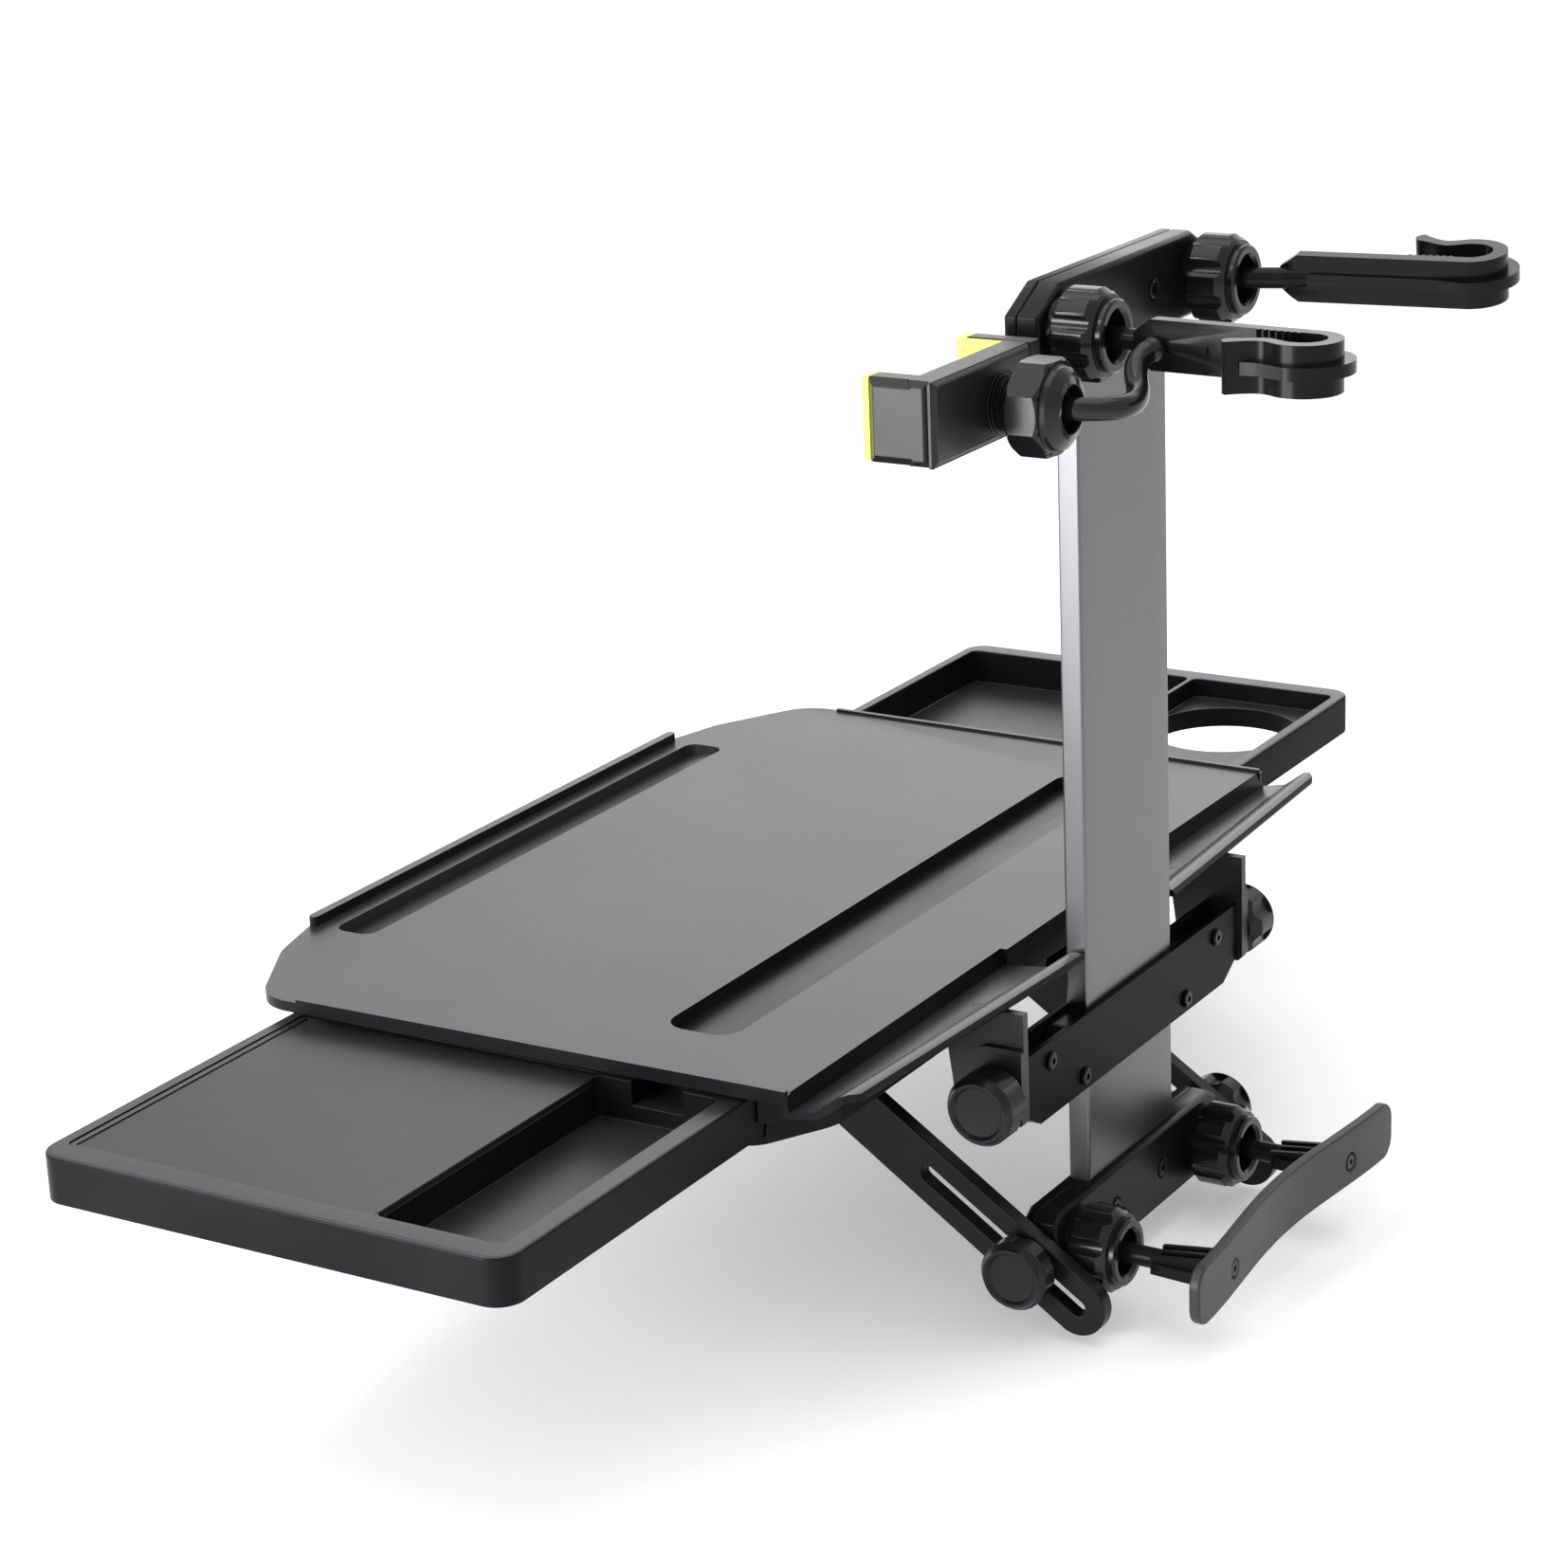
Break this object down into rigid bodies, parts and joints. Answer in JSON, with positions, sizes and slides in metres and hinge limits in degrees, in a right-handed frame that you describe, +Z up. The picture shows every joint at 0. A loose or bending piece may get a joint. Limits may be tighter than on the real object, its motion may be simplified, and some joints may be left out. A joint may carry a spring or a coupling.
{
  "type": "car laptop tray",
  "caption": "Folding laptop tray that hangs from a car seat's headrest rods, with a mouse drawer, a cup drawer, a phone clamp and a seat-back pad.",
  "frame": {"origin": "midway between the two headrest rods, at the hooks' mid height", "axes": "+X across the seat towards the mouse drawer, +Y forward to the front seat, +Z up"},
  "size_m": [0.756, 0.4611, 0.436],
  "materials": {
    "post": "brushed satin",
    "bar_plastic": "fine grain",
    "nut_plastic": "satin moulded",
    "channel_steel": "satin black paint",
    "tray_plastic": "fine grain",
    "drawer_plastic": "fine grain",
    "board": "smooth matt",
    "strut_plastic": "satin moulded",
    "screw_steel": "turned",
    "pad_rubber": "matt soft",
    "liner_rubber": "soft yellow"
  },
  "bodies": {
    "post_frame": {"post": "post", "top_bar_front": "bar_plastic", "top_bar_rear": "bar_plastic", "top_bar_screws": "screw_steel", "bottom_bar_front": "bar_plastic", "bottom_bar_rear": "bar_plastic", "bottom_bar_screws": "screw_steel", "carriage_channel": "channel_steel", "carriage_screws": "screw_steel", "top_collet_near": "bar_plastic", "top_collet_far": "bar_plastic", "bottom_collet_near": "bar_plastic", "bottom_collet_far": "bar_plastic", "carriage_guide_near": "bar_plastic", "carriage_guide_far": "bar_plastic", "tilt_stud_near": "screw_steel", "tilt_stud_far": "screw_steel", "strut_stud_near": "screw_steel", "strut_stud_far": "screw_steel"},
    "tray": {"tray_top": "tray_plastic", "tray_base": "tray_plastic", "base_screws": "screw_steel", "ear_screws": "screw_steel", "ear_near": "tray_plastic", "ear_far": "tray_plastic", "strut_pin_near": "screw_steel", "strut_pin_far": "screw_steel"},
    "mouse_drawer": {"mouse_drawer": "drawer_plastic", "mouse_board": "board"},
    "cup_drawer": {"cup_drawer": "drawer_plastic"},
    "strut_near": {"strut_near": "strut_plastic"},
    "strut_far": {"strut_far": "strut_plastic"},
    "tilt_knob_near": {"tilt_knob_near": "nut_plastic"},
    "tilt_knob_far": {"tilt_knob_far": "nut_plastic"},
    "strut_knob_near": {"strut_knob_near": "nut_plastic"},
    "strut_knob_far": {"strut_knob_far": "nut_plastic"},
    "top_nut_near": {"top_nut_near": "nut_plastic"},
    "top_nut_far": {"top_nut_far": "nut_plastic"},
    "bottom_nut_near": {"bottom_nut_near": "nut_plastic"},
    "bottom_nut_far": {"bottom_nut_far": "nut_plastic"},
    "hook_near": {"hook_near": "nut_plastic", "phone_arm": "nut_plastic"},
    "hook_far": {"hook_far": "nut_plastic"},
    "seat_pad": {"seat_pad": "pad_rubber", "pad_screws": "screw_steel", "pad_arm_near": "bar_plastic", "pad_arm_far": "bar_plastic"},
    "phone_holder": {"phone_body": "nut_plastic", "phone_cover": "nut_plastic", "phone_collet": "bar_plastic", "jaw_liner_near": "liner_rubber", "jaw_spring": "screw_steel"},
    "phone_jaw": {"phone_jaw": "nut_plastic", "jaw_liner_far": "liner_rubber"},
    "phone_nut": {"phone_nut": "nut_plastic"}
  },
  "joints": [
    {"name": "tray_tilt", "type": "hinge", "parent": "post_frame", "child": "tray", "pos_m": [0, -0.122, -0.3055], "axis": [-1, 0, 0], "range_deg": [-25, 15]},
    {"name": "strut_near_swing", "type": "hinge", "parent": "tray", "child": "strut_near", "pos_m": [0.0844, -0.2323, -0.314], "axis": [1, 0, 0], "range_deg": [-9, 5.6]},
    {"name": "tilt_knob_near_turn", "type": "hinge", "parent": "post_frame", "child": "tilt_knob_near", "pos_m": [0.119, -0.122, -0.3055], "axis": [1, 0, 0], "continuous": true},
    {"name": "strut_knob_near_turn", "type": "hinge", "parent": "post_frame", "child": "strut_knob_near", "pos_m": [0.096, -0.122, -0.389], "axis": [1, 0, 0], "continuous": true},
    {"name": "top_nut_near_turn", "type": "hinge", "parent": "post_frame", "child": "top_nut_near", "pos_m": [0.06, -0.1, 0], "axis": [0, 1, 0], "continuous": true},
    {"name": "bottom_nut_near_turn", "type": "hinge", "parent": "post_frame", "child": "bottom_nut_near", "pos_m": [0.06, -0.1, -0.3888], "axis": [0, 1, 0], "continuous": true},
    {"name": "strut_far_swing", "type": "hinge", "parent": "tray", "child": "strut_far", "pos_m": [-0.0844, -0.2323, -0.314], "axis": [1, 0, 0], "range_deg": [-9, 5.6]},
    {"name": "tilt_knob_far_turn", "type": "hinge", "parent": "post_frame", "child": "tilt_knob_far", "pos_m": [-0.119, -0.122, -0.3055], "axis": [1, 0, 0], "continuous": true},
    {"name": "strut_knob_far_turn", "type": "hinge", "parent": "post_frame", "child": "strut_knob_far", "pos_m": [-0.096, -0.122, -0.389], "axis": [1, 0, 0], "continuous": true},
    {"name": "top_nut_far_turn", "type": "hinge", "parent": "post_frame", "child": "top_nut_far", "pos_m": [-0.06, -0.1, 0], "axis": [0, 1, 0], "continuous": true},
    {"name": "bottom_nut_far_turn", "type": "hinge", "parent": "post_frame", "child": "bottom_nut_far", "pos_m": [-0.06, -0.1, -0.3888], "axis": [0, 1, 0], "continuous": true},
    {"name": "mouse_drawer_slide", "type": "slide", "parent": "tray", "child": "mouse_drawer", "axis": [1, 0, 0], "range_m": [-0.158, 0]},
    {"name": "cup_drawer_slide", "type": "slide", "parent": "tray", "child": "cup_drawer", "axis": [1, 0, 0], "range_m": [0, 0.158]},
    {"name": "hook_near_swing", "type": "hinge", "parent": "post_frame", "child": "hook_near", "pos_m": [0.06, -0.102, 0], "axis": [0, 0, 1], "range_deg": [-8, 12]},
    {"name": "hook_far_swing", "type": "hinge", "parent": "post_frame", "child": "hook_far", "pos_m": [-0.06, -0.102, 0], "axis": [0, 0, 1], "range_deg": [-12, 5]},
    {"name": "seat_pad_tilt", "type": "hinge", "parent": "post_frame", "child": "seat_pad", "pos_m": [0, -0.102, -0.3888], "axis": [1, 0, 0], "range_deg": [-15, 15]},
    {"name": "phone_holder_tilt", "type": "hinge", "parent": "hook_near", "child": "phone_holder", "pos_m": [0.125, -0.0875, -0.014], "axis": [1, 0, 0], "range_deg": [-12, 12]},
    {"name": "phone_nut_turn", "type": "hinge", "parent": "phone_holder", "child": "phone_nut", "pos_m": [0.125, -0.0875, -0.014], "axis": [0, 1, 0], "continuous": true},
    {"name": "phone_jaw_slide", "type": "slide", "parent": "phone_holder", "child": "phone_jaw", "axis": [-1, 0, 0], "range_m": [0, 0.01], "stiffness_N_per_m": 300, "springref_m": -0.006}
  ],
  "couplings": [
    {"joint": "strut_near_swing", "follows": "tray_tilt", "ratio": 0.334},
    {"joint": "strut_far_swing", "follows": "tray_tilt", "ratio": 0.334}
  ]
}
